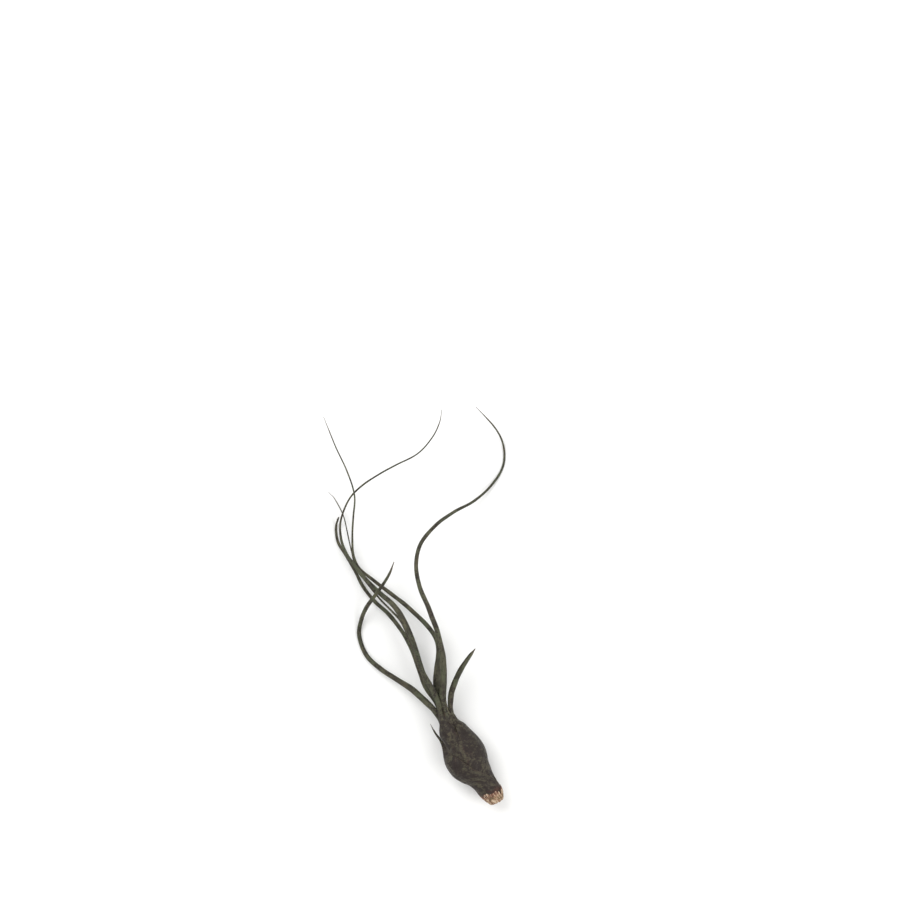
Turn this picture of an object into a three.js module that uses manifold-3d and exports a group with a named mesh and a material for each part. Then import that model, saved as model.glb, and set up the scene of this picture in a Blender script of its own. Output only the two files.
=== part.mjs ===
// A bulbous air plant, Tillandsia butzii, picked and lying on a flat surface.
// Lengths are millimetres and angles degrees. Seen from above, X runs to the right, Y up the plant
// towards the leaf tips, and Z to the eye. The origin is where the bulb touches the surface.
// Each leaf is one solid: a sheath that clasps the bulb, then a channelled blade. The sheaths nest
// one inside another round a short stem, each a layer further in than the older leaf outside it.

import * as THREE from 'three';
import { ParametricGeometry } from 'three/addons/geometries/ParametricGeometry.js';
import { mergeVertices } from 'three/addons/utils/BufferGeometryUtils.js';
import Module from 'manifold-3d';

const wasm = await Module();
wasm.setup();

// The bulb
const widest = 24.4; // from the cut end of the stem, along the bulb's axis
const topOfSheaths = 40; // where the sheaths start to curl into blades
const neck = 46;
const heading = new THREE.Vector3(-0.455, 0.89, 0).normalize(); // from the cut end to the neck
const across = new THREE.Vector3(0.89, 0.455, 0).normalize();
const up = new THREE.Vector3(0, 0, 1);
const sheathWall = 0.6;
const layerPitch = 0.95; // a sheath and the air under it
const clearance = 0.3; // between a sheath's foot and the stem

// The neck, where six blades stand in a ring round the seventh
const bladeRadius = 1.15;
const sectorHalfAngle = 28.5; // of a sheath's top, with its neighbours 60 degrees away
const sheathTopHalfWidth = 2;

// A blade's section, a C whose open side faces the bulb's axis
const channelledHalfAngle = 125;
const closedHalfAngle = 150; // of a thin blade, which has only a groove
const thinBlade = 0.55; // radius under which a blade is solid
const thickBlade = 0.85; // radius over which its channel is fully open
const smallestRadius = 0.37;
const bladeWallShare = 0.62;
const bladeStep = 3.6; // between the sections of a blade
const sectionSegments = 12; // round each face of a section
const sheathCorner = 25; // degrees between the corners of a sheath
const bladeStride = 3; // so a blade has four sides to each face
const grooveDepth = 0.72; // how far out a thin blade's groove is cut, as a share of its radius
const tipLength = 0.8;
const tangentStep = 0.2;

const floorSize = 600;

// Rows against their first column, joined by a smooth curve. The result gives the other columns.
function profile(rows) {
  const slopes = rows.map((row, i) => {
    const before = rows[Math.max(i - 1, 0)];
    const after = rows[Math.min(i + 1, rows.length - 1)];
    return row.map((_, column) => (after[column] - before[column]) / (after[0] - before[0]));
  });
  return (key) => {
    const x = THREE.MathUtils.clamp(key, rows[0][0], rows.at(-1)[0]);
    const i = Math.min(rows.findLastIndex((row) => row[0] <= x), rows.length - 2);
    const span = rows[i + 1][0] - rows[i][0];
    const t = (x - rows[i][0]) / span;
    const rise = t * t * (3 - 2 * t);
    const leave = t * (1 - t) * (1 - t) * span;
    const arrive = -t * t * (1 - t) * span;
    return rows[i].slice(1).map((value, n) => {
      const end = rows[i + 1][n + 1];
      return value + (end - value) * rise + slopes[i][n + 1] * leave + slopes[i + 1][n + 1] * arrive;
    });
  };
}

// Along the axis: how far it lies to the side of the straight line, and its height. At the widest
// part it is 0.15 lower than the bulb's radius, so that the surface takes a small flat off the bulb.
const axisShape = profile([
  [0, 3, 8.3],
  [4, 2.7, 8.5],
  [9, 2.1, 8.8],
  [12, 1.6, 9],
  [15, 0.8, 9.2],
  [18, 0.2, 9.4],
  [24.4, 0.2, 9.7],
  [31, 0.4, 10],
  [34, 0, 10.1],
  [40, -0.2, 10.4],
  [46, 0, 10.6],
]);

// Radius of the bulb's outermost sheath, and of the stem inside it
const bulbRadius = profile([
  [0, 2.7],
  [1.4, 3.6],
  [4, 4.9],
  [6.5, 5.4],
  [9, 5.7],
  [12, 6.3],
  [15, 7.7],
  [18, 8.6],
  [21, 9.45],
  [24.4, 9.85],
  [28, 9.6],
  [31, 8.8],
  [34, 8.1],
  [37.5, 6.9],
  [40, 5.8],
  [43, 4.7],
  [46, 3.9],
]);
const stemRadius = profile([
  [0, 2.5],
  [2, 2.65],
  [5.5, 2.35],
  [8, 2.1],
  [15, 2.05],
  [17.5, 1.9],
  [20, 1.7],
  [22, 1.3],
  [23.5, 0.8],
]);

// How many layers the dry scales take from the sheaths under them, and how far apart the layers are:
// a full pitch over the bulb, closing to nothing at the neck
const underScales = profile([[0, 1], [6.5, 1], [9.6, 0], [neck, 0]]);
const layerSpread = profile([
  [0, 1],
  [30, 1],
  [31.5, 0.98],
  [35, 0.8],
  [38.5, 0.58],
  [40, 0.47],
  [43, 0.2],
  [45.5, 0],
]);

// Half of the angle that a sheath clasps
const clasp = profile([
  [0, 150],
  [16, 140],
  [21, 118],
  [25, 88],
  [29, 62],
  [31, 57],
  [37.5, 56],
  [topOfSheaths, sectorHalfAngle],
  [neck, sectorHalfAngle],
]);
const oldestClasp = profile([
  [0, 150],
  [12, 135],
  [18, 114],
  [24.4, 95],
  [27, 82],
  [30, 44],
  [32, 15],
  [33.5, 5],
]);
const sheathRings = [4, 6.5, 9, 12, 15, 18, 21, 24.4, 28, 31, 34, 37.5, 40, 41.5, 43, 44.5, neck];

// The youngest sheath lies along the axis itself, inside the rest
const youngSheathRadius = profile([
  [20.5, 2.4],
  [25, 2.5],
  [28, 2.1],
  [30.5, 1.5],
  [33, 1.2],
  [40, 1.1],
  [neck, 0.95],
]);

// The leaves, oldest and outermost first. order counts the layers outside a sheath, facing is the
// way its middle turns round the axis, from the plant's right towards the eye, and foot is where it
// leaves the stem. topRadius and reach widen the blade at the neck and push it outwards. blade is
// its route above the neck: x, y, z and width.
const leaves = [
  {
    name: 'leaf_short_spike',
    color: 0x5a5a46,
    order: 0,
    facing: 200,
    foot: 3.2,
    clasp: oldestClasp,
    curl: [31, 33.5],
    topRadius: 0.4,
    rings: [4, 6.5, 9, 12, 15, 18, 21, 24.4, 28, 30, 31, 32, 32.8, 33.5],
    blade: [
      [-10.5, 6.4, 8, 0.8],
      [-11.8, 8.9, 8.8, 0.75],
      [-13.4, 11.4, 9.6, 0.74],
      [-15.3, 14, 10.4, 0.74],
    ],
  },
  {
    name: 'leaf_right_stub',
    color: 0x5d5f4c,
    order: 1,
    facing: 0,
    foot: 5.5,
    topRadius: 1.35,
    reach: 0.9,
    blade: [
      [-6.2, 23.6, 10.9, 2.7],
      [-6.1, 28.4, 12, 2.6],
      [-4.7, 33.4, 13.8, 2.2],
      [-2, 38.8, 15.6, 1.6],
      [0.9, 43.4, 16.6, 1.1],
      [3.8, 47, 17, 0.8],
    ],
  },
  {
    name: 'leaf_wide_sweep',
    color: 0x64644f,
    order: 2,
    facing: 120,
    foot: 8,
    blade: [
      [-12.2, 24.4, 13.6, 2.3],
      [-15.4, 31, 14.6, 2.3],
      [-18.3, 36.8, 15.3, 2.2],
      [-21.3, 46.5, 15.5, 2.1],
      [-24, 52, 15, 2.1],
      [-27.8, 59.8, 13, 2.1],
      [-32, 66.8, 11.2, 2],
      [-37.6, 71.6, 10.1, 1.8],
      [-44.5, 78, 9.2, 1.4],
      [-48.5, 83, 9, 1.3],
      [-52, 88, 8.8, 1.2],
      [-54.5, 95, 7.6, 1.1],
      [-54.5, 102.5, 6.6, 1],
      [-50.8, 111.8, 6, 0.9],
      [-45.2, 117.6, 6.5, 0.85],
      [-37.6, 122.6, 8.2, 0.8],
      [-30, 126.8, 10, 0.78],
      [-20.6, 131.8, 12.3, 0.76],
      [-14.4, 138.8, 13, 0.74],
      [-11.4, 145.2, 12.2, 0.74],
      [-10.4, 150.6, 11, 0.74],
    ],
  },
  {
    name: 'leaf_hooked_tip',
    color: 0x5f604c,
    order: 3,
    facing: 240,
    foot: 10.5,
    blade: [
      [-13, 23.4, 7.8, 2.2],
      [-17.4, 29.8, 7.8, 2.2],
      [-19.8, 36, 8, 2],
      [-22.6, 43.2, 7.5, 1.9],
      [-25.4, 49.4, 6.8, 1.8],
      [-29, 55.4, 5.4, 1.7],
      [-34, 61.6, 3.8, 1.6],
      [-40, 67, 3, 1.5],
      [-45, 74, 2.6, 1.5],
      [-48.5, 80.5, 2.3, 1.4],
      [-52.3, 87.2, 1.5, 1.3],
      [-55.8, 92.6, 0.6, 1.3],
      [-56.9, 97.4, 0.5, 1.2],
      [-56.7, 100.4, 1.4, 1.1],
      [-56, 102.5, 3.8, 1],
      [-55.5, 103.6, 7.5, 0.9],
      [-55.4, 103.8, 11, 0.8],
      [-56, 103, 14, 0.75],
    ],
  },
  {
    name: 'leaf_long_right',
    color: 0x62634d,
    order: 4,
    facing: 60,
    foot: 13,
    topRadius: 1.2,
    blade: [
      [-8.4, 24.6, 13.5, 2.5],
      [-9.4, 32.2, 15.3, 2.6],
      [-10, 42.4, 17.4, 2.4],
      [-11, 51, 17.8, 2.2],
      [-12.4, 55.8, 17.4, 2.1],
      [-16, 65.4, 16, 1.9],
      [-20.2, 74.6, 14, 1.8],
      [-21.6, 84, 12.5, 1.8],
      [-19.4, 92.8, 11, 1.7],
      [-12.8, 100.6, 9.3, 1.6],
      [-5.2, 106, 7, 1.4],
      [3.6, 110.8, 4, 1.1],
      [11.6, 118, 1.2, 1],
      [16.5, 126.5, 0.4, 1],
      [16.5, 135, 1.4, 0.9],
      [13, 142.5, 5.5, 0.8],
      [4, 151.5, 10, 0.74],
    ],
  },
  {
    name: 'leaf_low_left',
    color: 0x6a6b57,
    order: 5,
    facing: 180,
    foot: 15.5,
    topRadius: 1.4,
    reach: 0.9,
    blade: [
      [-14.8, 21.8, 9.8, 3],
      [-18.2, 24.5, 8.6, 3.1],
      [-23.5, 29.3, 7, 2.6],
      [-30.2, 33.5, 5, 2.2],
      [-36.9, 37.8, 3.2, 2],
      [-43.2, 43.4, 1.4, 1.8],
      [-46.3, 52, 0.8, 1.75],
      [-45.6, 58.6, 2.6, 1.75],
      [-43.2, 64.2, 6.6, 1.7],
      [-39.8, 69.5, 11.6, 1.6],
      [-36.3, 74.5, 14.6, 1.4],
      [-33.3, 79.5, 15.9, 1.1],
      [-31, 84.5, 16.2, 0.8],
    ],
  },
  {
    name: 'leaf_tall_left',
    color: 0x60614c,
    order: 6,
    facing: 300,
    foot: 18,
    blade: [
      [-10.7, 25.4, 8, 2.3],
      [-12.3, 32.8, 8, 2.3],
      [-12.6, 41.6, 8.4, 2.2],
      [-13.8, 51.2, 8.8, 2],
      [-17.8, 57.8, 9, 1.8],
      [-25.4, 65, 8.3, 1.75],
      [-32.5, 70.5, 7.4, 1.6],
      [-40, 76, 6.6, 1.5],
      [-46.5, 81.5, 6.3, 1.3],
      [-49, 87, 6.3, 1.1],
      [-49.5, 94.5, 6.8, 0.95],
      [-49, 104.5, 8.4, 0.8],
      [-48.5, 113.5, 9.6, 0.78],
      [-52, 124.5, 10, 0.76],
      [-56.5, 134.5, 9.2, 0.74],
      [-62, 147.5, 6.5, 0.74],
    ],
  },
  {
    name: 'leaf_young_thin',
    color: 0x6b5a4a,
    order: 7,
    facing: 60,
    foot: 20.5,
    sheathRadius: youngSheathRadius,
    clasp: profile([[20.5, 150], [30, 140], [neck, 125]]),
    blade: [
      [-12.6, 24.2, 10.8, 1.8],
      [-17, 31.4, 11.3, 1.6],
      [-20.4, 39.8, 11.8, 1.3],
      [-24, 49.4, 11, 1.1],
      [-28, 58, 9, 1],
      [-32.5, 63, 6.6, 0.9],
      [-37.5, 68, 5, 0.8],
      [-44.5, 76.5, 4.4, 0.78],
      [-48, 81.5, 4.3, 0.76],
      [-50, 89, 4, 0.74],
      [-52, 98, 3.8, 0.74],
      [-54, 105.5, 3.3, 0.74],
      [-57.5, 112, 3.8, 0.74],
      [-60, 114.5, 4.5, 0.74],
    ],
  },
];

const stem = {
  name: 'stem',
  color: 0x7a5a3c,
  segments: 14,
  rings: [0, 0.5, 2, 5.5, 8, 11.5, 15, 17.5, 20, 22, 23.5],
  bevel: 0.3,
};

const dryScales = {
  name: 'dry_scale_',
  color: 0x9a7448,
  facings: [90, 210, 330],
  foot: 1.4,
  rings: [2.6, 4, 5.4, 6.5],
  clasp: profile([[1.4, 56], [4, 55], [5.4, 46], [6.5, 30]]),
};

function axisPoint(a) {
  const [side, height] = axisShape(a);
  return new THREE.Vector3(0, 0, height).addScaledVector(heading, a - widest).addScaledVector(across, side);
}

function outward(facing) {
  const angle = THREE.MathUtils.degToRad(facing);
  return across.clone().multiplyScalar(Math.cos(angle)).addScaledVector(up, Math.sin(angle));
}

function layerRadius(order, a) {
  return bulbRadius(a)[0] - layerPitch * (underScales(a)[0] + order * layerSpread(a)[0]);
}

// One section, as a closed loop: its outer face from one edge to the other, then its inner face back.
// A sheath has a corner every so many degrees out to its edges, and a blade has a few even ones.
// Corners past the edge, or left out, repeat another, so that every loop has the same number.
function sectionLoop({ centre, out, side, radius, halfAngle, wall, isBlade }) {
  const half = THREE.MathUtils.degToRad(halfAngle);
  const hollow = THREE.MathUtils.smoothstep(radius, thinBlade, thickBlade);
  const innerRadius = Math.max(radius - wall, 0);
  const place = (x, y) => centre.clone().addScaledVector(out, x).addScaledVector(side, y);
  const outer = [];
  const inner = [];
  for (let i = 0; i <= sectionSegments; i += 1) {
    const fromMiddle = i - sectionSegments / 2;
    const evenly = (2 * Math.round(i / bladeStride) * bladeStride) / sectionSegments - 1;
    const stepped = THREE.MathUtils.clamp((fromMiddle * sheathCorner) / halfAngle, -1, 1);
    const v = isBlade ? evenly : stepped;
    const turn = half * v;
    const groove = grooveDepth * radius;
    const x = THREE.MathUtils.lerp(groove * Math.cos(half), innerRadius * Math.cos(turn), hollow);
    const y = THREE.MathUtils.lerp(groove * Math.sin(half) * v, innerRadius * Math.sin(turn), hollow);
    outer.push(place(radius * Math.cos(turn), radius * Math.sin(turn)));
    inner.push(place(x, y));
  }
  return [...outer, ...inner.reverse()];
}

// The same loop closed to the line midway between its faces, for a square end
function flattenedLoop(loop) {
  return loop.map((point, i) => point.clone().lerp(loop[loop.length - 1 - i], 0.5));
}

function solidFromLoops(loops) {
  const count = loops[0].length;
  const skin = new ParametricGeometry(
    (u, v, target) => target.copy(loops[Math.round(v * (loops.length - 1))][Math.round(u * count) % count]),
    count,
    loops.length - 1,
  );
  skin.deleteAttribute('normal');
  skin.deleteAttribute('uv');
  const merged = mergeVertices(skin);
  const corners = merged.index.array;
  const kept = [];
  for (let i = 0; i < corners.length; i += 3) {
    const [a, b, c] = corners.slice(i, i + 3);
    if (a !== b && b !== c && c !== a) {
      kept.push(a, b, c);
    }
  }
  merged.setIndex(kept);
  return merged;
}

function sheathSections(leaf) {
  const out = outward(leaf.facing);
  const side = heading.clone().cross(out);
  const [curlFrom, curlTo] = leaf.curl ?? [topOfSheaths, neck];
  const wrap = leaf.clasp ?? clasp;
  const rings = (leaf.rings ?? sheathRings).filter((a) => a > leaf.foot + 2);
  return [leaf.foot, leaf.foot + 1.6, ...rings].map((a) => {
    const curled = leaf.sheathRadius ? 0 : THREE.MathUtils.smoothstep(a, curlFrom, curlTo);
    const layer = leaf.sheathRadius
      ? leaf.sheathRadius(a)[0]
      : layerRadius(leaf.order, a) + curled * (leaf.reach ?? 0);
    const radius = THREE.MathUtils.lerp(layer, leaf.topRadius ?? bladeRadius, curled);
    const claspAngle = wrap(a)[0];
    const halfWidth = Math.min(THREE.MathUtils.degToRad(claspAngle) * layer, sheathTopHalfWidth);
    const topAngle = THREE.MathUtils.radToDeg(halfWidth / radius);
    return {
      centre: axisPoint(a).addScaledVector(out, layer - radius),
      out,
      side,
      radius,
      halfAngle: curled > 0 ? Math.min(topAngle, channelledHalfAngle) : claspAngle,
      wall: a === leaf.foot ? layer - stemRadius(a)[0] - clearance : sheathWall,
      isBlade: false,
    };
  });
}

// The blade's sections follow on from the sheath's last one, turning with its route but not twisting
function bladeSections(leaf, last) {
  const points = [[last.centre.x, last.centre.y, last.centre.z, 2 * last.radius], ...leaf.blade];
  let run = 0;
  const rows = points.map((point, i) => {
    if (i > 0) {
      run += Math.hypot(...point.slice(0, 3).map((value, n) => value - points[i - 1][n]));
    }
    return [run, ...point];
  });
  const route = profile(rows);
  const steps = Math.ceil(run / bladeStep);
  const sections = [];
  let out = last.out;
  for (let i = 1; i <= steps; i += 1) {
    const s = (run * i) / steps;
    const [x, y, z, width] = route(s);
    const before = new THREE.Vector3(...route(s - tangentStep));
    const ahead = new THREE.Vector3(...route(s + tangentStep)).sub(before).normalize();
    const turned = heading.clone().lerp(ahead, THREE.MathUtils.smoothstep(s, 0, 6)).normalize();
    out = out.clone().addScaledVector(turned, -out.dot(turned)).normalize();
    const radius = Math.max(width / 2, smallestRadius);
    const open = THREE.MathUtils.lerp(last.halfAngle, channelledHalfAngle, THREE.MathUtils.smoothstep(s, 0, 5));
    const hollow = THREE.MathUtils.smoothstep(radius, thinBlade, thickBlade);
    sections.push({
      centre: new THREE.Vector3(x, y, z),
      out,
      side: turned.clone().cross(out),
      ahead: turned,
      radius,
      halfAngle: THREE.MathUtils.lerp(closedHalfAngle, open, hollow),
      wall: Math.max(sheathWall, bladeWallShare * radius),
      isBlade: true,
    });
  }
  return sections;
}

function leafGeometry(leaf) {
  const sheath = sheathSections(leaf);
  const blade = bladeSections(leaf, sheath.at(-1));
  const loops = [...sheath, ...blade].map(sectionLoop);
  const end = blade.at(-1);
  const tip = end.centre.clone().addScaledVector(end.ahead, tipLength);
  return solidFromLoops([flattenedLoop(loops[0]), ...loops, loops[0].map(() => tip)]);
}

function scaleGeometry(facing) {
  const out = outward(facing);
  const side = heading.clone().cross(out);
  const loops = [dryScales.foot, ...dryScales.rings].map((a) => {
    const radius = bulbRadius(a)[0];
    const wall = a === dryScales.foot ? radius - stemRadius(a)[0] - clearance : sheathWall;
    const halfAngle = dryScales.clasp(a)[0];
    return sectionLoop({ centre: axisPoint(a), out, side, radius, halfAngle, wall, isBlade: false });
  });
  return solidFromLoops([flattenedLoop(loops[0]), ...loops, flattenedLoop(loops.at(-1))]);
}

function stemGeometry() {
  const loops = stem.rings.map((a) => {
    const radius = stemRadius(a)[0] - (a === 0 ? stem.bevel : 0);
    const centre = axisPoint(a);
    return Array.from({ length: stem.segments }, (_, i) => {
      return centre.clone().addScaledVector(outward((-360 * i) / stem.segments), radius);
    });
  });
  const first = axisPoint(stem.rings[0]);
  const last = axisPoint(stem.rings.at(-1));
  return solidFromLoops([loops[0].map(() => first), ...loops, loops[0].map(() => last)]);
}

function toManifold(geometry) {
  return new wasm.Manifold(new wasm.Mesh({
    numProp: 3,
    vertProperties: new Float32Array(geometry.attributes.position.array),
    triVerts: new Uint32Array(geometry.index.array),
  }));
}

function toGeometry(solid) {
  const mesh = solid.getMesh();
  const geometry = new THREE.BufferGeometry();
  geometry.setAttribute('position', new THREE.BufferAttribute(mesh.vertProperties, 3));
  geometry.setIndex(new THREE.BufferAttribute(mesh.triVerts, 1));
  return geometry;
}

// What lies under the surface, which takes a small flat off each leaf that bears on it
function underground() {
  const box = new THREE.BoxGeometry(floorSize, floorSize, floorSize).translate(0, 0, -floorSize / 2);
  box.deleteAttribute('normal');
  box.deleteAttribute('uv');
  return toManifold(mergeVertices(box));
}

const below = underground();
const plant = new THREE.Group();

function addPiece(name, color, geometry) {
  const material = new THREE.MeshStandardMaterial({ color, roughness: 0.75, metalness: 0 });
  const mesh = new THREE.Mesh(geometry, material);
  mesh.name = name;
  plant.add(mesh);
}

addPiece(stem.name, stem.color, stemGeometry());
dryScales.facings.forEach((facing, i) => {
  addPiece(dryScales.name + (i + 1), dryScales.color, scaleGeometry(facing));
});
for (const leaf of leaves) {
  addPiece(leaf.name, leaf.color, toGeometry(toManifold(leafGeometry(leaf)).subtract(below)));
}

export default plant;
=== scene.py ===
import math

import bmesh
import bpy
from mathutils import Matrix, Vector, noise


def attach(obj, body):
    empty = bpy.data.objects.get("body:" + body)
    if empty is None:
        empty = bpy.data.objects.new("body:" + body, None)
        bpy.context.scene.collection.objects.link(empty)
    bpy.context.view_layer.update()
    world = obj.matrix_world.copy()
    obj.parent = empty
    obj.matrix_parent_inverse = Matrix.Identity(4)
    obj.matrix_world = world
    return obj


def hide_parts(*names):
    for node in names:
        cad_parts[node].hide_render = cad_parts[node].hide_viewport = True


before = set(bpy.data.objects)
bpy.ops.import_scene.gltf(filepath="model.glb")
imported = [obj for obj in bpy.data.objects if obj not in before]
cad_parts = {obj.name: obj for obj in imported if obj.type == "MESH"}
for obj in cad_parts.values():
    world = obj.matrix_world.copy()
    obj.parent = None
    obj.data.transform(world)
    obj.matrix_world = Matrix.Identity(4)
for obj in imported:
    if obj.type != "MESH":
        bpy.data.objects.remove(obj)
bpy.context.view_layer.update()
mm = 0.001
samePoint = 1e-7  # metres: points this close together are one
print("frame loaded")

# The camera looks straight down on the plant, with its tips towards the top of the picture
cameraView = {
    "aim": (-6.9, 133.1, 9),
    "distance": 1191,
    "widthSeen": 391.9,
    "sensor": 36,
    "nearest": 10,
    "farthest": 20000,
}


def addCamera(view):
    data = bpy.data.cameras.new("camera")
    data.sensor_width = view["sensor"]
    data.lens = view["sensor"] * view["distance"] / view["widthSeen"]
    data.clip_start = view["nearest"] * mm
    data.clip_end = view["farthest"] * mm
    camera = bpy.data.objects.new("camera", data)
    x, y, z = view["aim"]
    camera.location = (x * mm, y * mm, (z + view["distance"]) * mm)
    bpy.context.scene.collection.objects.link(camera)
    bpy.context.scene.camera = camera


addCamera(cameraView)

# Soft light from a large panel above the left shoulder, a weaker one at the right, and a bright room
lightPanels = {
    "key": {"place": (-700, 900, 1500), "size": 1100, "power": 15},
    "fill": {"place": (900, -300, 1200), "size": 1000, "power": 8},
}
roomLight = {"colour": (1, 1, 1, 1), "strength": 0.84}


def addLights(panels, room):
    for name, panel in panels.items():
        data = bpy.data.lights.new(name, "AREA")
        data.size = panel["size"] * mm
        data.energy = panel["power"]
        light = bpy.data.objects.new(name, data)
        light.location = Vector(panel["place"]) * mm
        light.rotation_euler = (-light.location).to_track_quat("-Z", "Y").to_euler()
        bpy.context.scene.collection.objects.link(light)
    world = bpy.data.worlds.new("room")
    world.use_nodes = True
    background = world.node_tree.nodes["Background"]
    background.inputs["Color"].default_value = room["colour"]
    background.inputs["Strength"].default_value = room["strength"]
    bpy.context.scene.world = world


addLights(lightPanels, roomLight)
bpy.context.scene.view_settings.view_transform = "Standard"
print("camera and lights set")


# Small helpers for shapes

def smoothstep(low, high, x):
    t = min(max((x - low) / (high - low), 0), 1)
    return t * t * (3 - 2 * t)


def mix(a, b, t):
    return a + (b - a) * t


def ripple(x, y, pattern):  # smooth noise, from -1 to 1. Another pattern number gives other waves.
    return noise.noise(Vector((x, y, pattern)))


def profile(rows):  # rows against their first column, joined by a smooth curve
    slopes = []
    for i, row in enumerate(rows):
        before = rows[max(i - 1, 0)]
        after = rows[min(i + 1, len(rows) - 1)]
        slopes.append([(b - a) / (after[0] - before[0]) for a, b in zip(before, after)])

    def at(key):
        x = min(max(key, rows[0][0]), rows[-1][0])
        i = 0
        while i < len(rows) - 2 and rows[i + 1][0] <= x:
            i += 1
        span = rows[i + 1][0] - rows[i][0]
        t = (x - rows[i][0]) / span
        rise = t * t * (3 - 2 * t)
        leave = t * (1 - t) * (1 - t) * span
        arrive = -t * t * (1 - t) * span
        values = []
        for n in range(1, len(rows[0])):
            start = rows[i][n]
            end = rows[i + 1][n]
            bend = slopes[i][n] * leave + slopes[i + 1][n] * arrive
            values.append(start + (end - start) * rise + bend)
        return values

    return at


def moved(corner, point):
    return dict(corner, point=point)


def closed(loop):  # a loop drawn together to one line, half way between its two faces
    drawn = []
    for corner, opposite in zip(loop, reversed(loop)):
        drawn.append(moved(corner, corner["point"].lerp(opposite["point"], 0.5)))
    return drawn


seamWidth = 0.2  # how far the skin's pattern runs on across the seam of a rolled sheet


def wrapSheet(name, loops):  # a flat grid, rolled up so that each of its lines is one section
    count = len(loops[0])
    lines = len(loops) - 1
    bm = bmesh.new()
    skin = bm.loops.layers.uv.new("skin")
    bmesh.ops.create_grid(bm, x_segments=count, y_segments=lines, size=0.5, calc_uvs=True)
    marks = {mark: bm.verts.layers.float.new(mark) for mark in ("blade", "dry", "rim", "foot")}
    for face in bm.faces:
        for loop in face.loops:
            i = round(loop[skin].uv.x * count)
            j = round(loop[skin].uv.y * lines)
            u, v = loops[j][min(i, count - 1)]["skin"]
            loop[skin].uv = (u + seamWidth * (i == count), v)
    for vert in bm.verts:
        i = round((vert.co.x + 0.5) * count) % count
        j = round((vert.co.y + 0.5) * lines)
        corner = loops[j][i]
        vert.co = corner["point"] * mm
        for mark, layer in marks.items():
            vert[layer] = corner[mark]
    bmesh.ops.remove_doubles(bm, verts=bm.verts, dist=samePoint)
    bmesh.ops.dissolve_degenerate(bm, edges=bm.edges, dist=samePoint)
    bmesh.ops.recalc_face_normals(bm, faces=bm.faces)
    return finishPiece(name, bm)


def finishPiece(name, bm):
    mesh = bpy.data.meshes.new(name)
    for face in bm.faces:
        face.smooth = True
    bm.to_mesh(mesh)
    bm.free()
    piece = bpy.data.objects.new(name, mesh)
    bpy.context.scene.collection.objects.link(piece)
    return piece


# The bulb. A place along its axis, called a, is in millimetres from the cut end of the stem.
bulb = {
    "widest": 24.4,
    "topOfSheaths": 40,
    "neck": 46,
    "heading": Vector((-0.455, 0.89, 0)).normalized(),
    "across": Vector((0.89, 0.455, 0)).normalized(),
    "up": Vector((0, 0, 1)),
    "layerPitch": 0.95,
    "lean": [  # how far the axis lies to the side, and how high
        [0, 3, 8.3], [4, 2.7, 8.5], [9, 2.1, 8.8], [12, 1.5, 9], [15, 0.55, 9.2], [18, -0.1, 9.4],
        [21, 0, 9.6], [24.4, 0.2, 9.7], [28, 0.4, 9.85], [31, 0.5, 10], [34, 0.05, 10.1], [36, -0.35, 10.2],
        [38, -0.62, 10.3], [40, -0.86, 10.4], [43, -0.33, 10.5], [46, 0, 10.6],
    ],
    "radius": [
        [0, 2.7], [1.4, 3.6], [4, 4.75], [6.5, 5.2], [9, 5.35], [12, 6.1], [15, 7.6], [18, 8.7], [21, 9.6],
        [24.4, 9.9], [28, 9.4], [31, 8.6], [34, 7.85], [37.5, 7.12], [40, 5.62], [43, 4.45], [46, 3.7],
    ],
    "stem": [  # its radius
        [0, 2.5], [2, 2.65], [5.5, 2.35], [8, 2.1], [15, 2.05], [17.5, 1.9], [20, 1.7], [22, 1.3],
        [23.5, 0.8],
    ],
    "underScales": [[0, 0.14], [5, 0.14], [7.5, 0], [46, 0]],  # layers that the dry scales take up
    "spread": [  # the share of the layer pitch that lies between two layers
        [0, 0.3], [5, 0.35], [9, 0.55], [14, 0.9], [18, 1], [30, 1], [31.5, 0.98], [35, 0.8],
        [38.5, 0.58], [40, 0.47], [43, 0.2], [45.5, 0],
    ],
    "clasp": [  # how far round the axis a sheath's edges lie from its middle, in degrees
        [0, 160], [16, 148], [21, 128], [25, 104], [29, 88], [33, 78], [37, 68], [40, 55], [43, 41],
        [46, 30],
    ],
    "oldestClasp": [
        [0, 179], [9, 177], [13, 148], [18, 118], [24.4, 92], [27, 74], [29.5, 42], [31.5, 22],
        [33.5, 12], [36, 8],
    ],
}
leanAt = profile(bulb["lean"])
bulbRadiusAt = profile(bulb["radius"])
stemRadiusAt = profile(bulb["stem"])
underScalesAt = profile(bulb["underScales"])
spreadAt = profile(bulb["spread"])
claspAt = profile(bulb["clasp"])
oldestClaspAt = profile(bulb["oldestClasp"])


def axisPoint(a):
    side, height = leanAt(a)
    return bulb["heading"] * (a - bulb["widest"]) + bulb["across"] * side + bulb["up"] * height


def outward(facing):
    angle = math.radians(facing)
    return bulb["across"] * math.cos(angle) + bulb["up"] * math.sin(angle)


def layerRadius(order, a):
    return bulbRadiusAt(a)[0] - bulb["layerPitch"] * (underScalesAt(a)[0] + order * spreadAt(a)[0])


# Sheaths lie in layers. How many layers down the next one lies is a mean over nine spots close
# together, so that a sheath bends softly where it passes the edge of one below.
layering = {
    "turns": (-9, 0, 9),
    "shifts": (-1.2, 0, 1.2),
    "oneLayerBelow": 14,
    "mostLayers": 3,
}


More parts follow.
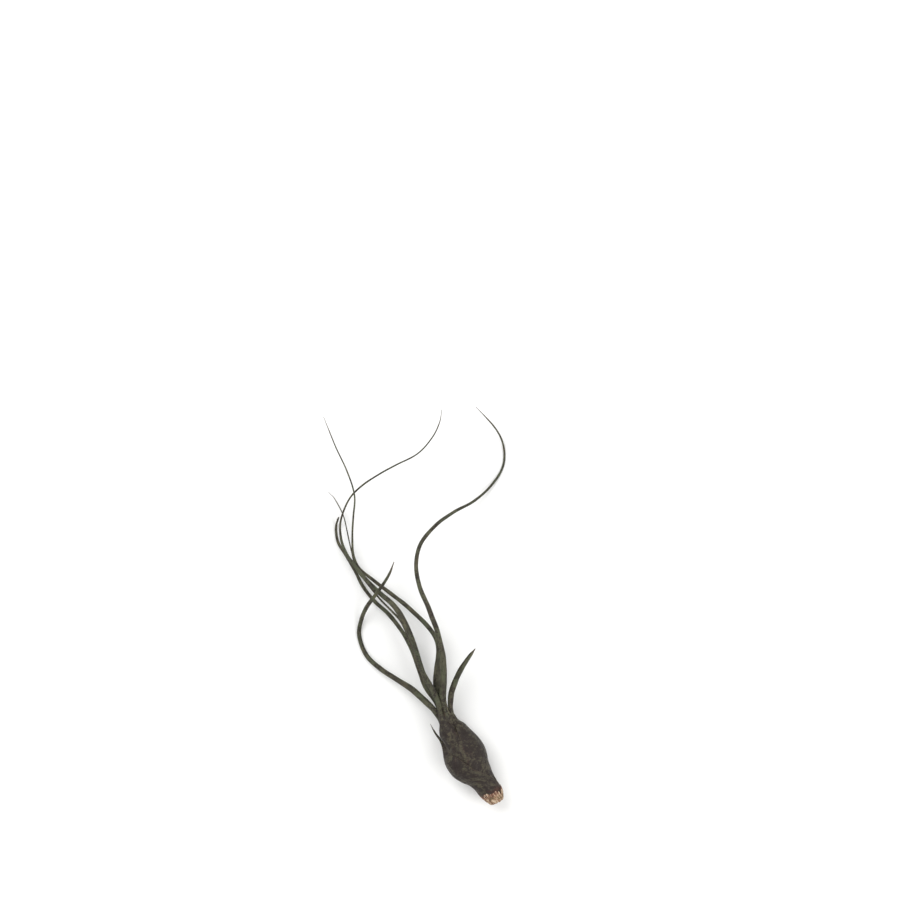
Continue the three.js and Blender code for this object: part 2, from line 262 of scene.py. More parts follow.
def layersDown(leaf, angle, a):
    deepest = min(layering["mostLayers"], len(leaves) - 1 - leaf["order"])
    found = []
    for turn in layering["turns"]:
        for shift in layering["shifts"]:
            place = min(a + shift, bulb["topOfSheaths"])
            down = 1 if a < layering["oneLayerBelow"] else deepest
            for below in reversed(leaves[leaf["order"] + 1:-1]):
                apart = abs((angle + turn - below["facing"] + 180) % 360 - 180)
                if place > below["foot"] and apart < below.get("claspAt", claspAt)(place)[0]:
                    down = below["order"] - leaf["order"]
            found.append(max(down, 1))
    return sum(found) / len(found)


# What all leaves share. A blade is a rolled leaf with an open channel, solid where it gets thin.
leafMesh = {
    "outerCorners": 84,
    "innerCorners": 24,
    "gatheredAtEdges": 0.6,  # how far the outer corners move from even steps towards the edges
    "closedHalfAngle": 150,
    "solidUnder": 0.45,
    "hollowOver": 0.75,
    "bladeWall": 0.62,
    "groove": 0.72,
    "leastRadius": 0.02,
    "floorGap": 0.02,
    "skinShift": 47,  # moves the skin's pattern, so that no two leaves have the same
}


def hollowness(radius):
    return smoothstep(leafMesh["solidUnder"], leafMesh["hollowOver"], radius)


# A sheath, from its foot on the stem to where it has curled up into the start of its blade
sheathShape = {
    "step": 0.45,
    "root": 1.6,  # how far above its foot it has come clear of the stem
    "stemGap": 0.3,
    "layerGap": 0.1,
    "lapGap": 0.16,
    "lapsFade": (0.1, 0.8),  # shares of the curl
    "topRadius": 1.15,
    "topHalfWidth": 2.1,  # against the top radius
    "mostWall": 0.92,  # against the radius
    "neckWall": 1.25,
    "neckWallFrom": -3,  # millimetres past the start of the curl
    "neckWallTo": 1,
    "bladeWallFrom": 0.7,  # a share of the curl
    "bladeLook": (-5, 9),  # millimetres past the start of the curl, and past its end
    "paperyEnd": (2, 1),
    "rustyFoot": (4.5, 8),  # places along the axis
}


def innermostForm(leaf, a):  # the youngest leaf is a thin roll, with nothing inside it
    radius = leaf["sheathRadiusAt"](a)[0]
    return {
        "layer": radius,
        "radius": radius,
        "halfAngle": leaf["claspAt"](a)[0],
        "wall": leaf["sheathWall"],
        "laps": (0, 0),
    }


def claspingForm(leaf, a, curlFrom, curled):
    shape = sheathShape
    clasp = leaf.get("claspAt", claspAt)(a)[0]
    topRadius = leaf.get("topRadius", shape["topRadius"])
    pitch = bulb["layerPitch"] * spreadAt(a)[0]
    layer = layerRadius(leaf["order"], a)
    radius = mix(layer, topRadius, curled)
    halfWidth = mix(math.radians(clasp) * layer, shape["topHalfWidth"] * topRadius, curled)
    halfAngle = min(math.degrees(halfWidth / radius), mix(180, leafMesh["closedHalfAngle"], curled))
    free = 1 - smoothstep(*leaf.get("lapsFade", shape["lapsFade"]), curled)
    drop = radius - radius * math.cos(math.radians(halfAngle)) if "lapsFade" in leaf else 0
    laps = []
    for s in (1, -1):
        lap = layersDown(leaf, leaf["facing"] + s * clasp, a) * pitch - shape["lapGap"]
        laps.append(max(lap - drop * curled, 0) * free)
    neck = smoothstep(curlFrom + shape["neckWallFrom"], curlFrom + shape["neckWallTo"], a)
    wall = layersDown(leaf, leaf["facing"], a) * pitch - shape["layerGap"]
    wall = min(max(wall, shape["neckWall"] * neck), shape["mostWall"] * radius)
    wall = mix(wall, leafMesh["bladeWall"] * radius, smoothstep(shape["bladeWallFrom"], 1, curled))
    return {"layer": layer, "radius": radius, "halfAngle": halfAngle, "wall": wall, "laps": laps}


def sheathRows(leaf):
    shape = sheathShape
    out = outward(leaf["facing"])
    side = bulb["heading"].cross(out)
    curlFrom, curlTo = leaf.get("curl", (bulb["topOfSheaths"], bulb["neck"]))
    lookFrom, lookTo = shape["bladeLook"]
    paperyFrom, paperyTo = shape["paperyEnd"]
    foot = leaf["foot"]
    steps = math.ceil((curlTo - foot) / shape["step"])
    rows = []
    for i in range(steps + 1):
        a = mix(foot, curlTo, i / steps)
        if "sheathRadiusAt" in leaf:
            form = innermostForm(leaf, a)
        else:
            form = claspingForm(leaf, a, curlFrom, smoothstep(curlFrom, curlTo, a))
        toStem = form["layer"] - stemRadiusAt(a)[0] - shape["stemGap"]
        rooted = 1 - smoothstep(foot, foot + shape["root"], a)
        rows.append({
            "along": a,
            "centre": axisPoint(a) + out * (form["layer"] - form["radius"]),
            "out": out,
            "side": side,
            "ahead": bulb["heading"],
            "radius": form["radius"],
            "halfAngle": form["halfAngle"],
            "wall": mix(form["wall"], toStem, rooted),
            "laps": form["laps"],
            "blade": smoothstep(curlFrom + lookFrom, curlTo + lookTo, a),
            "papery": 1 - smoothstep(curlFrom + paperyFrom, curlTo + paperyTo, a),
            "foot": 1 - smoothstep(*shape["rustyFoot"], a),
            "dry": 0,
        })
    return rows


# A blade, from the top of its sheath to its tip. Waves are in cycles a millimetre.
bladeShape = {
    "step": 0.6,
    "lookAhead": 0.3,
    "headingFades": 6,  # this and the next three are millimetres above the neck
    "rolledBy": 15,
    "closedBy": 12,
    "bladeLookBy": 9,
    "tipShare": 0.45,  # of its width, left at the tip
    "swell": 0.07,
    "swellWaves": 0.22,
    "wobble": 0.1,
    "wobbleWaves": 0.12,
    "wobblePatterns": (3, 6.4, 9.7),
    "wobbleFades": (4, 14),
    "pointLength": 2,  # against the radius of the last section
    "dryAllOver": 0.2,  # the share of a dry tip that is dry all over
    "patternStep": 17.3,
}


def bladeRoute(points):  # place and width against the way along the blade, and the blade's length
    length = 0
    rows = []
    for i, point in enumerate(points):
        if i:
            length += (Vector(point[:3]) - Vector(points[i - 1][:3])).length
        rows.append([length, *point])
    return profile(rows), length


def bladeRows(leaf, last):
    shape = bladeShape
    route, length = bladeRoute([[*last["centre"], 2 * last["radius"]]] + leaf["blade"])
    steps = math.ceil(length / shape["step"])
    out = last["out"]
    pattern = leaf["order"] * shape["patternStep"]
    rows = []
    for i in range(1, steps + 1):
        s = length * i / steps
        left = length - s
        x, y, z, width = route(s)
        behind = Vector(route(s - shape["lookAhead"])[:3])
        ahead = (Vector(route(s + shape["lookAhead"])[:3]) - behind).normalized()
        ahead = bulb["heading"].lerp(ahead, smoothstep(0, shape["headingFades"], s)).normalized()
        out = (out - ahead * out.dot(ahead)).normalized()
        side = ahead.cross(out)
        roll = leaf.get("roll", 0) * smoothstep(0, shape["rolledBy"], s)
        turn = math.radians(leaf["twist"] * smoothstep(0, 1, s / length) + roll)
        swell = 1 + shape["swell"] * ripple(s * shape["swellWaves"], pattern, 0)
        wander = Vector([ripple(s * shape["wobbleWaves"], pattern, n) for n in shape["wobblePatterns"]])
        radius = width / 2 * swell * mix(shape["tipShare"], 1, smoothstep(0, leaf["taper"], left))
        opened = mix(last["halfAngle"], leafMesh["closedHalfAngle"], smoothstep(0, shape["closedBy"], s))
        rows.append({
            "along": last["along"] + s,
            "centre": Vector((x, y, z)) + wander * shape["wobble"] * smoothstep(*shape["wobbleFades"], s),
            "out": out * math.cos(turn) + side * math.sin(turn),
            "side": side * math.cos(turn) - out * math.sin(turn),
            "ahead": ahead,
            "radius": radius,
            "halfAngle": mix(leafMesh["closedHalfAngle"], opened, hollowness(radius)),
            "wall": leafMesh["bladeWall"] * radius,
            "laps": (0, 0),
            "blade": mix(last["blade"], 1, smoothstep(0, shape["bladeLookBy"], s)),
            "papery": 0,
            "foot": 0,
            "dry": 1 - smoothstep(leaf["dryTip"] * shape["dryAllOver"], leaf["dryTip"], left),
        })
    return rows


# How uneven a sheath is. Its dents are waves along it, in cycles a millimetre, and round it: the
# large ones in cycles a radian and the small ones in cycles a millimetre.
sheathRelief = {
    "edgeWander": 1.5,  # degrees
    "edgeWaves": 0.16,
    "nicks": 1.1,  # degrees
    "nickWaves": 1.6,
    "edgePower": 4,  # keeps the wander and the nicks near the edges
    "dents": 0.22,
    "dentWaves": (0.1, 3),
    "smallDents": 0.09,
    "smallDentWaves": (0.16, 0.8),
    "smoothEdge": 0.7,
    "thinFrom": 0.55,
    "marginWall": 0.13,
    "marginFrom": 0.35,
    "marginTo": 0.97,
    "bladeMargin": 0.7,
    "patternStep": 31.7,
}


def sectionLoop(row, leaf):  # its outer face from edge to edge, then its inner face back
    relief = sheathRelief
    half = math.radians(row["halfAngle"])
    radius = row["radius"]
    along = row["along"]
    papery = row["papery"]
    hollow = hollowness(radius)
    groove = leafMesh["groove"] * radius
    pattern = leaf["order"] * relief["patternStep"]
    shift = leaf["order"] * leafMesh["skinShift"]
    margin = mix(relief["marginWall"], row["wall"] * relief["bladeMargin"], 1 - papery)
    edges = []
    for s in (0, 1):
        wander = relief["edgeWander"] * ripple(along * relief["edgeWaves"], pattern + 3 * s, 0)
        nick = relief["nicks"] * max(ripple(along * relief["nickWaves"], pattern + 9 * s, 5), 0)
        edges.append(math.radians(wander) - math.radians(nick))

    # v goes across the leaf, from -1 at one edge to 1 at the other
    def outerRadius(v):
        thin = smoothstep(relief["thinFrom"], 1, abs(v))
        lengthwise, roundwise = relief["dentWaves"]
        dents = ripple(along * lengthwise, half * v * roundwise, pattern) * relief["dents"]
        lengthwise, roundwise = relief["smallDentWaves"]
        small = ripple(along * lengthwise, half * v * radius * roundwise, pattern + 4)
        dents += small * relief["smallDents"]
        return radius - row["laps"][int(v > 0)] * thin + dents * papery * (1 - relief["smoothEdge"] * thin)

    def angleAt(v):
        return half * v + math.copysign(abs(v) ** relief["edgePower"] * papery, v) * edges[int(v > 0)]

    def wallAt(v):
        return mix(row["wall"], margin, smoothstep(relief["marginFrom"], relief["marginTo"], abs(v)))

    def corner(x, y, u, v):
        point = row["centre"] + row["out"] * x + row["side"] * y
        point.z = max(point.z, leafMesh["floorGap"])
        return {
            "point": point,
            "skin": (shift + u, along),
            "blade": row["blade"],
            "dry": row["dry"],
            "rim": abs(v) * papery,
            "foot": row["foot"],
        }

    loop = []
    for i in range(leafMesh["outerCorners"] + 1):
        v = 2 * i / leafMesh["outerCorners"] - 1
        v = mix(v, math.sin(math.pi / 2 * v), leafMesh["gatheredAtEdges"])
        r = outerRadius(v)
        turn = angleAt(v)
        loop.append(corner(r * math.cos(turn), r * math.sin(turn), radius * half * v, v))
    for i in range(leafMesh["innerCorners"] + 1):
        v = -math.sin(math.pi / 2 * (2 * i / leafMesh["innerCorners"] - 1))
        r = max(outerRadius(v) - wallAt(v), leafMesh["leastRadius"])
        turn = angleAt(v)
        x = mix(groove * math.cos(half), r * math.cos(turn), hollow)
        y = mix(groove * math.sin(half) * v, r * math.sin(turn), hollow)
        loop.append(corner(x, y, radius * half * (2 - v), v))
    return loop


def wrapLeaf(name, rows, leaf):
    loops = [sectionLoop(row, leaf) for row in rows]
    end = rows[-1]
    tip = end["centre"] + end["ahead"] * end["radius"] * bladeShape["pointLength"]
    return wrapSheet(name, [closed(loops[0])] + loops + [[moved(corner, tip) for corner in loops[-1]]])


# Materials

def newMaterial(name):
    material = bpy.data.materials.new(name)
    material.use_nodes = True
    tree = material.node_tree
    return material, tree, tree.nodes["Principled BSDF"]


def feed(tree, socket, value):  # joins another socket to this one, or gives it a number, colour or vector
    if isinstance(value, bpy.types.NodeSocket):
        tree.links.new(value, socket)
    elif isinstance(value, tuple) and len(socket.default_value) == 4:
        socket.default_value = (*value, 1)
    else:
        socket.default_value = value


def surfaceOf(tree):
    return tree.nodes.new("ShaderNodeTexCoord").outputs["Object"]


def skinOf(tree):  # millimetres across the piece and along it
    made = tree.nodes.new("ShaderNodeUVMap")
    made.uv_map = "skin"
    return made.outputs["UV"]


def markOf(tree, name):
    made = tree.nodes.new("ShaderNodeAttribute")
    made.attribute_name = name
    return made.outputs["Fac"]


def stretched(tree, vector, waves, turn=0):  # waves: cycles for each unit of the vector
    made = tree.nodes.new("ShaderNodeMapping")
    feed(tree, made.inputs["Vector"], vector)
    made.inputs["Scale"].default_value = waves
    made.inputs["Rotation"].default_value = (0, 0, turn)
    return made.outputs["Vector"]


def noiseOf(tree, vector, detail, roughness=0.55, distortion=0.0):
    made = tree.nodes.new("ShaderNodeTexNoise")
    feed(tree, made.inputs["Vector"], vector)
    made.inputs["Scale"].default_value = 1
    made.inputs["Detail"].default_value = detail
    made.inputs["Roughness"].default_value = roughness
    made.inputs["Distortion"].default_value = distortion
    return made.outputs["Fac"]


def cellsOf(tree, vector):
    made = tree.nodes.new("ShaderNodeTexVoronoi")
    feed(tree, made.inputs["Vector"], vector)
    made.inputs["Scale"].default_value = 1
    return made.outputs["Distance"]


def between(tree, value, low, high, floor=0.0, ceiling=1.0):  # from low to high, floor turns to ceiling
    made = tree.nodes.new("ShaderNodeMapRange")
    made.interpolation_type = "SMOOTHSTEP"
    feed(tree, made.inputs["Value"], value)
    feed(tree, made.inputs["From Min"], low)
    feed(tree, made.inputs["From Max"], high)
    feed(tree, made.inputs["To Min"], floor)
    feed(tree, made.inputs["To Max"], ceiling)
    return made.outputs["Result"]


def maths(tree, operation, first, second):
    made = tree.nodes.new("ShaderNodeMath")
    made.operation = operation
    feed(tree, made.inputs[0], first)
    feed(tree, made.inputs[1], second)
    return made.outputs[0]


def blended(tree, share, first, second):
    made = tree.nodes.new("ShaderNodeMix")
    made.data_type = "RGBA"
    feed(tree, made.inputs["Factor"], share)
    feed(tree, made.inputs[6], first)
    feed(tree, made.inputs[7], second)
    return made.outputs[2]


def bumped(tree, shader, height, distance):
    made = tree.nodes.new("ShaderNodeBump")
    feed(tree, made.inputs["Height"], height)
    made.inputs["Distance"].default_value = distance * mm
    tree.links.new(made.outputs["Normal"], shader.inputs["Normal"])


# The skin of the leaves. Waves are in cycles a millimetre, across the leaf and along it. A row of two
# or four numbers is for between(): from where to where in a pattern, and what that turns into.
leafSkin = {
    "olive": (0.080, 0.077, 0.047),
    "green": (0.070, 0.079, 0.045),
    "straw": (0.125, 0.106, 0.058),
    "sheathGround": (0.062, 0.051, 0.033),
    "spot": (0.0175, 0.0115, 0.0105),
    "blush": (0.048, 0.022, 0.018),
    "rust": (0.085, 0.028, 0.020),
    "scurf": (0.20, 0.185, 0.155),
    "margin": (0.085, 0.062, 0.044),
    "dryTip": (0.070, 0.048, 0.032),
    "spotsOfSheath": 0.045,
    "spotsOfBlade": -0.075,
    "scurfShare": 0.2,
    "groundWaves": (0.21, 0.06, 1),
    "greenBand": (0.42, 0.62),
    "patchWaves": (0.3, 0.1, 1),
    "strawBand": (0.57, 0.7, 0, 0.7),
    "sheathBand": (0, 0.8, 0.8, 0),
    "blushBand": (0.32, 0.45, 0.75, 0),
    "blushOfBlade": (0.3, 1, 1, 0.4),
    "mottleWaves": (0.5, 0.42, 1),
    "mottleBand": (0.34, 0.66, -0.09, 0.09),
    "areaWaves": (0.15, 0.11, 1),
    "areaBand": (0.4, 0.6, -0.06, 0.05),
    "spotWaves": (1, 1.5, 1),
    "spotBand": (0.465, 0.535, 0, 0.9),
    "toneWaves": (0.34, 0.22, 1),
    "toneBand": (0.44, 0.64, 0, 0.55),
    "rustBand": (0.42, 0.62, 0, 0.75),
    "lineWaves": (4.2, 0.1, 1),
    "lineBand": (0.42, 0.68, 0, 0.35),
    "scurfWaves": (6.8, 5.4, 1),
    "scurfBand": (0.1, 0.5, 1, 0),
    "scurfByMottle": (0.35, 0.65, 1, 0.25),
    "marginBand": (0.975, 0.996, 0, 0.6),
    "roughnessByMottle": (0.3, 0.7, 0.5, 0.66),
    "gloss": 0.22,
    "lineHeight": 0.8,
    "scurfHeight": 0.25,
    "mottleHeight": 0.7,
    "relief": 0.12,
}


def makeLeafSkin(name, skin):
    material, tree, shader = newMaterial(name)
    place = skinOf(tree)
    blade = markOf(tree, "blade")

    # olive ground, greener and straw-coloured in places, browner on the sheaths
    ground = noiseOf(tree, stretched(tree, place, skin["groundWaves"]), detail=3)
    patch = noiseOf(tree, stretched(tree, place, skin["patchWaves"], turn=0.4), detail=3)
    colour = blended(tree, between(tree, ground, *skin["greenBand"]), skin["olive"], skin["green"])
    colour = blended(tree, between(tree, patch, *skin["strawBand"]), colour, skin["straw"])
    colour = blended(tree, between(tree, blade, *skin["sheathBand"]), colour, skin["sheathGround"])
    blush = between(tree, patch, *skin["blushBand"])
    blush = maths(tree, "MULTIPLY", blush, between(tree, blade, *skin["blushOfBlade"]))
    colour = blended(tree, blush, colour, skin["blush"])

    # purple-brown spots that run together on the sheaths, thin out on the blades and gather in areas
    mottled = stretched(tree, place, skin["mottleWaves"])
    mottle = noiseOf(tree, mottled, detail=6, roughness=0.66, distortion=0.3)
    spotted = stretched(tree, place, skin["spotWaves"])
    spots = noiseOf(tree, spotted, detail=6, roughness=0.62, distortion=0.9)
    more = between(tree, blade, 0, 1, skin["spotsOfSheath"], skin["spotsOfBlade"])
    spots = maths(tree, "ADD", spots, more)
    spots = maths(tree, "ADD", spots, between(tree, mottle, *skin["mottleBand"]))
    area = noiseOf(tree, stretched(tree, place, skin["areaWaves"], turn=1.1), detail=2)
    spots = maths(tree, "ADD", spots, between(tree, area, *skin["areaBand"]))
    colour = blended(tree, between(tree, spots, *skin["spotBand"]), colour, skin["spot"])

    # some parts darker than the rest
    tone = noiseOf(tree, stretched(tree, place, skin["toneWaves"], turn=0.7), detail=3, roughness=0.5)
    colour = blended(tree, between(tree, tone, *skin["toneBand"]), colour, skin["spot"])

    # rust at the foot of the sheaths
    rust = maths(tree, "MULTIPLY", markOf(tree, "foot"), between(tree, mottle, *skin["rustBand"]))
    colour = blended(tree, rust, colour, skin["rust"])

    # fine lines along the leaf
    lines = noiseOf(tree, stretched(tree, place, skin["lineWaves"]), detail=2, roughness=0.6)
    colour = blended(tree, between(tree, lines, *skin["lineBand"]), colour, skin["spot"])

    # a dust of pale scales, each a sixth of a millimetre across
    scurf = cellsOf(tree, stretched(tree, place, skin["scurfWaves"]))
    dust = between(tree, scurf, *skin["scurfBand"])
    dustShare = maths(tree, "MULTIPLY", dust, between(tree, mottle, *skin["scurfByMottle"]))
    dustShare = maths(tree, "MULTIPLY", dustShare, skin["scurfShare"])
    colour = blended(tree, dustShare, colour, skin["scurf"])

    # papery margins on the sheaths, and dry tips
    margin = between(tree, markOf(tree, "rim"), *skin["marginBand"])
    colour = blended(tree, margin, colour, skin["margin"])
    colour = blended(tree, markOf(tree, "dry"), colour, skin["dryTip"])
    feed(tree, shader.inputs["Base Color"], colour)

    feed(tree, shader.inputs["Roughness"], between(tree, mottle, *skin["roughnessByMottle"]))
    shader.inputs["Specular IOR Level"].default_value = skin["gloss"]

    height = maths(tree, "MULTIPLY", lines, skin["lineHeight"])
    height = maths(tree, "ADD", height, maths(tree, "MULTIPLY", dust, skin["scurfHeight"]))
    height = maths(tree, "ADD", height, maths(tree, "MULTIPLY", mottle, skin["mottleHeight"]))
    bumped(tree, shader, height, skin["relief"])
    return material


skinOfLeaf = makeLeafSkin("leaf skin", leafSkin)
youngSkin = dict(leafSkin, olive=(0.086, 0.075, 0.049), green=(0.071, 0.074, 0.044), spotsOfBlade=-0.06)
skinOfYoungLeaf = makeLeafSkin("young leaf skin", youngSkin)

dryPaper = {
    "cream": (0.60, 0.49, 0.35),
    "tan": (0.30, 0.18, 0.105),
    "rust": (0.125, 0.044, 0.034),
    "olive": (0.12, 0.095, 0.046),
    "dark": (0.034, 0.022, 0.018),
    "blotchWaves": (0.85, 0.42, 1),
    "tanBand": (0.43, 0.5),
    "creamBand": (0.5, 0.61, 0, 0.95),
    "regionWaves": (0.4, 0.25, 1),
    "oliveBand": (0.45, 0.53),
    "fibreWaves": (9, 0.35, 1),
    "darkFibres": (0.5, 0.66, 0, 0.55),
    "paleFibres": (0.44, 0.34, 0, 0.4),
    "unevenHeight": (0.3, 0.7, 0.3, -0.3),
    "redderBand": (0.55, 1.1, 0, 0.75),
    "darkerBand": (0.95, 1.25, 0, 0.85),
    "roughness": 0.74,
    "gloss": 0.3,
    "relief": 0.16,
}


def makeDryPaper(name, paper):
    material, tree, shader = newMaterial(name)
    place = skinOf(tree)
    blotched = stretched(tree, place, paper["blotchWaves"])
    blotch = noiseOf(tree, blotched, detail=5, roughness=0.68, distortion=0.1)
    parted = stretched(tree, place, paper["regionWaves"])
    region = noiseOf(tree, parted, detail=3, roughness=0.5, distortion=0.1)
    fibres = noiseOf(tree, stretched(tree, place, paper["fibreWaves"]), detail=3, roughness=0.65)
    shade = blended(tree, between(tree, region, *paper["oliveBand"]), paper["rust"], paper["olive"])
    colour = blended(tree, between(tree, blotch, *paper["tanBand"]), shade, paper["tan"])
    colour = blended(tree, between(tree, blotch, *paper["creamBand"]), colour, paper["cream"])
    colour = blended(tree, between(tree, fibres, *paper["darkFibres"]), colour, paper["rust"])
    colour = blended(tree, between(tree, fibres, *paper["paleFibres"]), colour, paper["cream"])

    # towards the torn edge it gets redder, then as dark as the sheath under it
    height = maths(tree, "ADD", markOf(tree, "dry"), between(tree, blotch, *paper["unevenHeight"]))
    colour = blended(tree, between(tree, height, *paper["redderBand"]), colour, paper["rust"])
    colour = blended(tree, between(tree, height, *paper["darkerBand"]), colour, paper["dark"])
    feed(tree, shader.inputs["Base Color"], colour)
    shader.inputs["Roughness"].default_value = paper["roughness"]
    shader.inputs["Specular IOR Level"].default_value = paper["gloss"]
    bumped(tree, shader, maths(tree, "ADD", fibres, blotch), paper["relief"])
    return material


paperOfScales = makeDryPaper("dry scale paper", dryPaper)

# The stem's patterns are in cycles a metre. Its strands run lengthwise.
stemWood = {
    "pith": (0.40, 0.27, 0.15),
    "stain": (0.20, 0.11, 0.055),
    "bark": (0.13, 0.070, 0.038),
    "strand": (0.10, 0.055, 0.03),
    "stainWaves": (900, 900, 900),
    "stainBand": (0.38, 0.62),
    "strandWaves": (300, 2600, 2600),
    "strandBand": (0.2, 0.36, 0.75, 0),
    "roughness": 0.82,
    "gloss": 0.25,
    "relief": 0.16,
}


def makeStemWood(name, wood):
    material, tree, shader = newMaterial(name)
    place = surfaceOf(tree)
    lengthwise = -math.atan2(bulb["heading"].y, bulb["heading"].x)
    strands = cellsOf(tree, stretched(tree, place, wood["strandWaves"], turn=lengthwise))
    stain = noiseOf(tree, stretched(tree, place, wood["stainWaves"]), detail=6, roughness=0.7)
    colour = blended(tree, between(tree, stain, *wood["stainBand"]), wood["pith"], wood["stain"])
    colour = blended(tree, markOf(tree, "rim"), colour, wood["bark"])
    colour = blended(tree, between(tree, strands, *wood["strandBand"]), colour, wood["strand"])
    feed(tree, shader.inputs["Base Color"], colour)
    shader.inputs["Roughness"].default_value = wood["roughness"]
    shader.inputs["Specular IOR Level"].default_value = wood["gloss"]
    bumped(tree, shader, maths(tree, "ADD", strands, stain), wood["relief"])
    return material


woodOfStem = makeStemWood("stem wood", stemWood)
print("materials ready")


def addLeaf(leaf, material):
    rows = sheathRows(leaf)
    rows += bladeRows(leaf, rows[-1])
    piece = wrapLeaf(leaf["name"], rows, leaf)
    piece.data.materials.append(material)
    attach(piece, "root")
    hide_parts(leaf["node"])
    print(leaf["name"], len(piece.data.polygons), "faces")


# The leaves, oldest first. order counts the layers outside a sheath, facing is the way its middle
# turns round the axis, foot is where it leaves the stem, curl is where it rolls up into its blade.
# blade: x, y, z and width above the neck. roll turns it at its start, and twist all the way.
shortSpike = {
    "name": "short_spike", "node": "leaf_short_spike", "order": 0, "facing": 200, "foot": 3.2,
    "claspAt": oldestClaspAt, "curl": (30.5, 36), "lapsFade": (0.6, 0.97), "topRadius": 0.56,
    "taper": 4, "dryTip": 4, "twist": 0,
    "blade": [[-12.65, 8.8, 8.4, 0.9], [-14.05, 11.1, 9.2, 0.7], [-15.4, 13.8, 10.2, 0.48]],
}

rightStub = {
    "name": "right_stub", "node": "leaf_right_stub", "order": 1, "facing": 0, "foot": 5.5,
    "curl": (37, 43.5), "topRadius": 1.4, "taper": 3, "dryTip": 2.5, "twist": 25,
    "blade": [
        [-7, 21.2, 10.7, 2.85], [-6.75, 24.7, 11.2, 2.75], [-6.2, 28.2, 12, 2.7], [-4.5, 33.2, 13.8, 2.5],
        [-1.85, 38.6, 15.6, 2.3], [1.05, 43.2, 16.6, 1.7], [3.85, 46.9, 17, 1.1],
    ],
}

wideSweep = {
    "name": "wide_sweep", "node": "leaf_wide_sweep", "order": 2, "facing": 120, "foot": 8,
    "taper": 9, "dryTip": 14, "twist": 190,
    "blade": [
        [-12.2, 24.4, 13.6, 2.4], [-15.5, 31, 14.6, 2.3], [-18.55, 36.8, 15.3, 2],
        [-21.3, 45.4, 15.5, 2.05], [-23.6, 52, 15, 2.2], [-26.4, 57.7, 13.5, 2.6], [-29, 62.4, 12.1, 2.6],
        [-32.4, 66.6, 11.2, 2.2], [-37.9, 71.25, 10.1, 2.15], [-44.65, 77.9, 9.2, 1.75],
        [-48.6, 82.9, 9, 1.5], [-52.1, 88, 8.8, 1.3], [-54.5, 95, 7.6, 1.1], [-54.5, 102.5, 6.6, 0.9],
        [-50.8, 111.8, 6, 0.82], [-45.2, 117.6, 6.5, 0.78], [-37.6, 122.6, 8.2, 0.74],
        [-30, 126.8, 10, 0.7], [-20.6, 131.8, 12.3, 0.64], [-14.4, 138.8, 13, 0.58],
        [-11.4, 145.2, 12.2, 0.52], [-10.4, 150.6, 11, 0.45],
    ],
}

hookedTip = {
    "name": "hooked_tip", "node": "leaf_hooked_tip", "order": 3, "facing": 240, "foot": 10.5,
    "taper": 8, "dryTip": 8, "roll": 90, "twist": 75,
    "blade": [
        [-13, 23.4, 7.8, 2.3], [-17.4, 29.8, 7.8, 2.3], [-19.8, 36, 8, 2.1], [-22.4, 43.2, 7.5, 2],
        [-25.1, 49.4, 6.8, 1.9], [-28.7, 55.1, 5.4, 1.8], [-33.75, 61.3, 3.8, 1.8],
        [-39.8, 66.85, 3, 1.6], [-45.25, 73.8, 2.6, 1.5], [-48.6, 80.4, 2.3, 1.4], [-52.5, 87.1, 1.5, 1.4],
        [-55.9, 92.5, 0.6, 1.25], [-56.9, 97.4, 0.5, 1.05], [-56.7, 100.4, 1.4, 0.95],
        [-56, 102.5, 3.8, 0.82], [-55.5, 103.6, 7.5, 0.7], [-55.4, 103.8, 11, 0.58], [-56, 103, 14, 0.46],
    ],
}

longRight = {
    "name": "long_right", "node": "leaf_long_right", "order": 4, "facing": 60, "foot": 13,
    "topRadius": 1.3, "taper": 9, "dryTip": 14, "twist": -85,
    "blade": [
        [-10, 25, 13.5, 2.9], [-9.9, 31, 15, 3], [-9.6, 37, 16.3, 2.85], [-9.9, 43.4, 17.4, 2.55],
        [-11.45, 51, 17.8, 2.25], [-12.8, 55.8, 17.4, 2.25], [-14.75, 60.8, 16.7, 2.2],
        [-16.45, 65.4, 16, 2.1], [-20.3, 74.6, 14, 1.95], [-21.6, 84, 12.5, 1.8], [-19.4, 92.8, 11, 1.7],
        [-12.8, 100.6, 9.3, 1.6], [-5.2, 106, 7, 1.4], [3.6, 110.8, 4, 1.15], [11.6, 118, 1.2, 1.05],
        [16.5, 126.5, 0.4, 0.98], [16.5, 135, 1.4, 0.86], [13, 142.5, 5.5, 0.7], [4.4, 151.8, 10, 0.5],
    ],
}

lowLeft = {
    "name": "low_left", "node": "leaf_low_left", "order": 5, "facing": 180, "foot": 15.5,
    "curl": (38, 44.5), "topRadius": 1.45, "taper": 5, "dryTip": 6, "twist": 130,
    "blade": [
        [-13.9, 20.4, 10.1, 2.95], [-16.4, 22.7, 9.4, 3], [-19.6, 25.4, 8.4, 2.95], [-23.8, 28.9, 7, 2.65],
        [-30.4, 33, 5, 2.25], [-37.25, 37.3, 3.2, 2.15], [-43.5, 43.2, 1.4, 1.95], [-46.75, 52, 0.8, 1.9],
        [-45.8, 58.6, 2.6, 1.85], [-43.5, 64.2, 6.6, 1.85], [-39.8, 69.5, 11.6, 1.6],
        [-36.2, 74.5, 14.6, 1.3], [-33.2, 79.5, 15.9, 1.1], [-31.2, 84.5, 16.2, 0.8],
    ],
}

